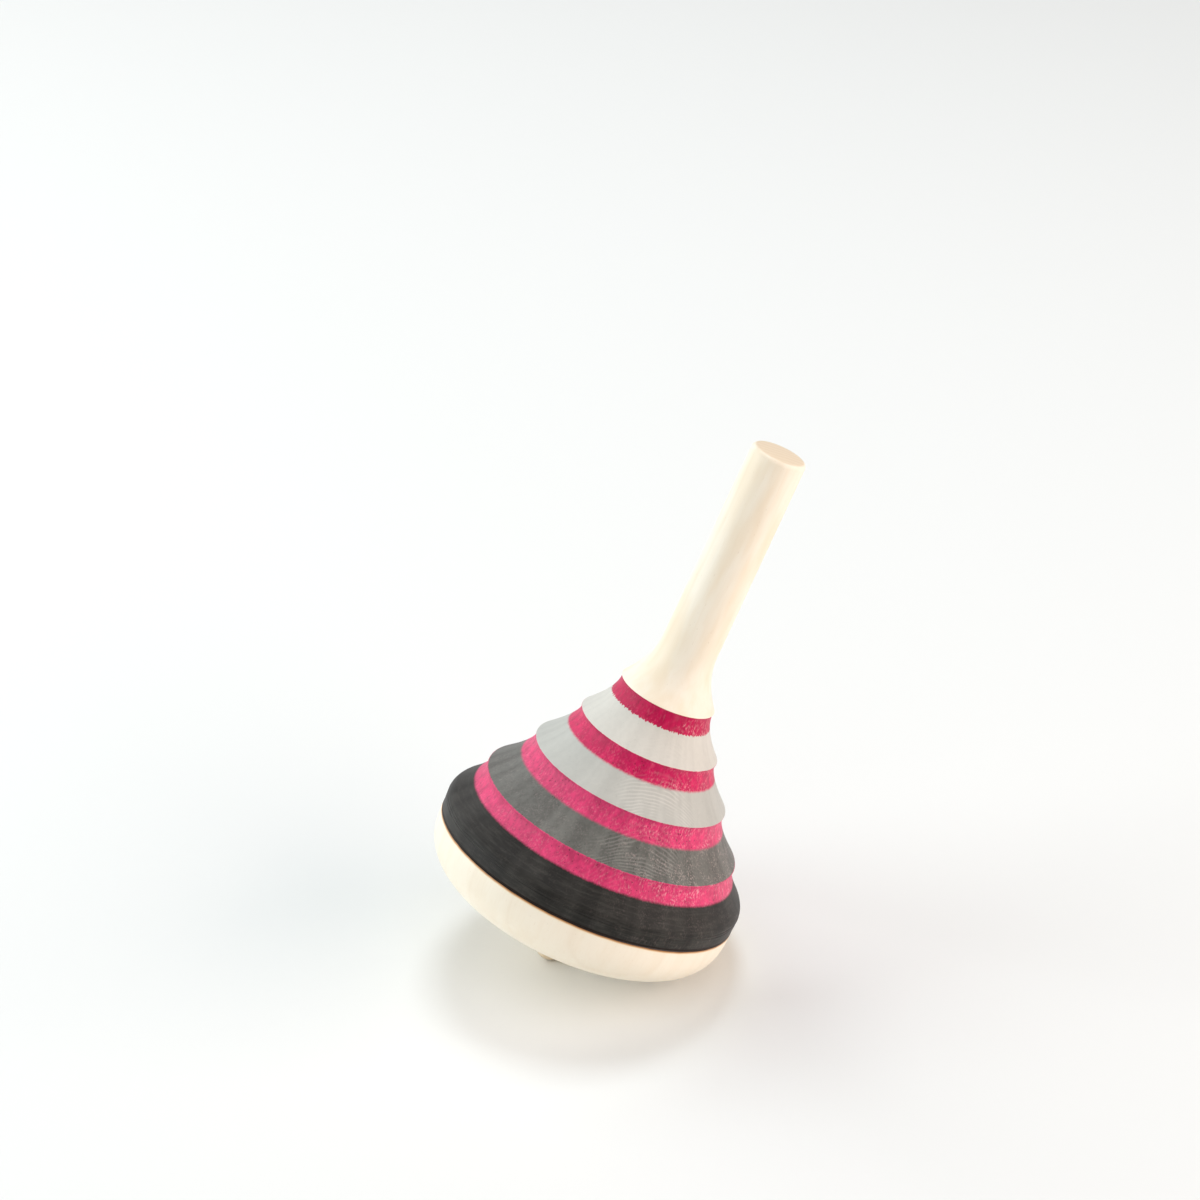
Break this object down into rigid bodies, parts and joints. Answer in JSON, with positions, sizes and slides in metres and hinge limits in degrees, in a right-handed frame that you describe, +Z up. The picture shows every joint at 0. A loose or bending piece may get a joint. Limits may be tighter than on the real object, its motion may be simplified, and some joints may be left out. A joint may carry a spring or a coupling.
{
  "type": "spinning top",
  "caption": "Lathe-turned wooden finger top with a straight stem, a stepped and stained conical body, a bare bowl base and a small tip, leaning at rest.",
  "frame": {"origin": "on the table, below the middle of the top's box as it lies at rest on its tip and on the side of its bowl", "axes": "+Z is up from the table; the top leans towards +X in the XZ plane, so its spin axis is the axis of mount stem_end, 24.7 degrees off +Z; +Y completes the right-handed frame"},
  "size_m": [0.0412, 0.035, 0.0596],
  "materials": {
    "stem_maple": "bare maple, sanded, thin satin oil",
    "stained_maple": "maple stained in pink, grey and black bands, satin lacquer",
    "bare_maple": "bare maple, sanded, thin satin oil, with a burnt line at its upper edge",
    "tip_maple": "bare maple, sanded"
  },
  "bodies": {
    "root": {"stem": "stem_maple", "body": "stained_maple", "base": "bare_maple", "tip": "tip_maple"}
  },
  "joints": []
}
